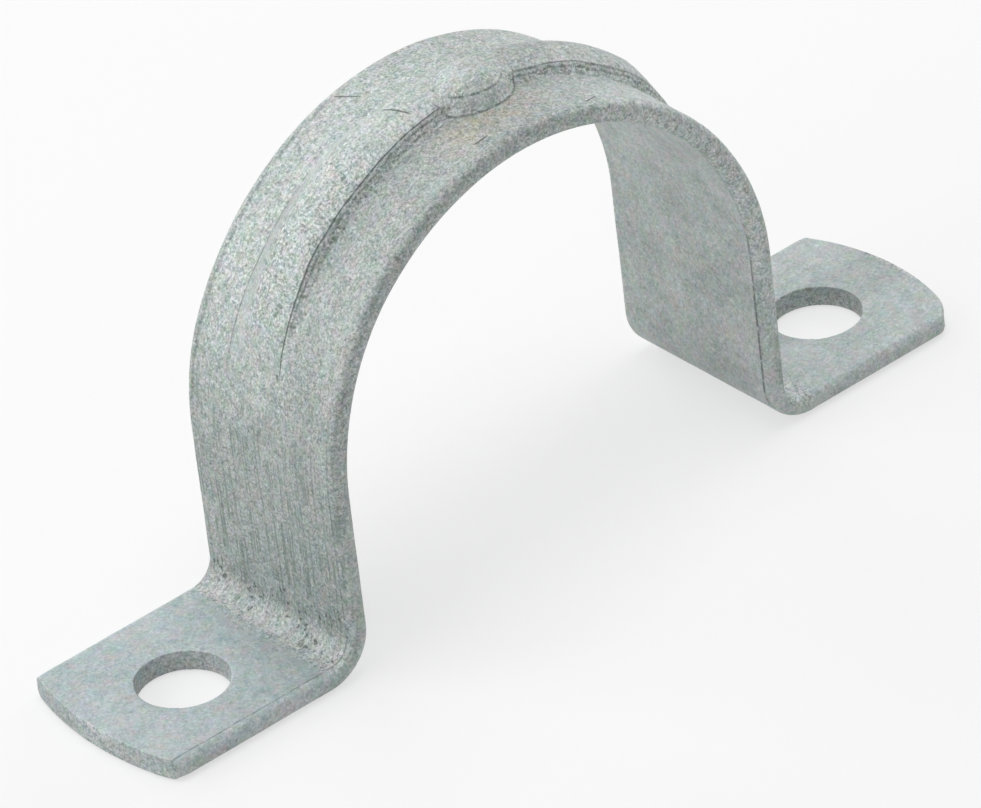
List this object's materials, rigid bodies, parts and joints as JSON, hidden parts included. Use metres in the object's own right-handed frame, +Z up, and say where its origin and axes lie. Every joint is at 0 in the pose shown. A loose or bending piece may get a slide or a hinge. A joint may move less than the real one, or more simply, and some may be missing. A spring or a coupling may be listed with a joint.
{
  "type": "conduit strap",
  "caption": "Conduit strap: an arched steel strip with a pressed rib and a crown boss, on flat feet with round ends and bolt holes.",
  "frame": {"origin": "on the mounting surface, midway between the feet and in the middle of the strip", "axes": "+X along the strap from foot to foot, +Y across the strip along the conduit, +Z up, away from the mounting surface"},
  "size_m": [0.1212, 0.0254, 0.0592],
  "materials": {
    "galvanised_steel": "dull hot-dip zinc, mottled, with drawing lines on the legs and a rubbed inner bend"
  },
  "bodies": {
    "root": {"strap": "galvanised_steel"}
  },
  "joints": []
}
